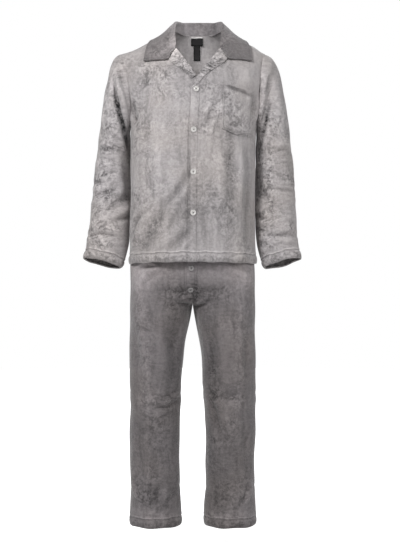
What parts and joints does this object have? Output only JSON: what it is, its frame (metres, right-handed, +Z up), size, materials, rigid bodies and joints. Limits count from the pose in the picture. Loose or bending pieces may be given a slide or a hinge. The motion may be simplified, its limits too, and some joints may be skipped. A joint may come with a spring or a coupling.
{
  "type": "pajama set",
  "caption": "Long-sleeved button-front pajama shirt with a notched collar and a chest pocket, over long straight trousers with a button fly, filled out as worn, in grey plush.",
  "frame": {"origin": "where the wearer carries the shirt: on the neck's axis, level with the high points of the two shoulders", "axes": "+Z up along the body, +X to the wearer's left, -Y out of the front"},
  "size_m": [0.704, 0.2874, 1.643],
  "materials": {
    "shirt_plush": "soft warm-grey plush with a crushed nap",
    "collar_plush": "the same plush, its nap lying darker",
    "trouser_plush": "soft dark-grey plush with a crushed nap",
    "button_plastic": "pearly grey plastic",
    "label_cloth": "bare black woven satin"
  },
  "bodies": {
    "root": {"button_1": "button_plastic", "button_2": "button_plastic", "button_3": "button_plastic", "button_4": "button_plastic", "care_label": "label_cloth", "chest_pocket": "shirt_plush", "collar": "collar_plush", "fly_button_1": "button_plastic", "fly_button_2": "button_plastic", "fly_placket": "trouser_plush", "lapel_left": "shirt_plush", "lapel_right": "shirt_plush", "neck_label": "label_cloth", "shirt_back": "shirt_plush", "shirt_front_left": "shirt_plush", "shirt_front_right": "shirt_plush", "sleeve_left": "shirt_plush", "sleeve_right": "shirt_plush", "trouser_back_left": "trouser_plush", "trouser_back_right": "trouser_plush", "trouser_front_left": "trouser_plush", "trouser_front_right": "trouser_plush", "waistband": "trouser_plush"}
  },
  "joints": []
}
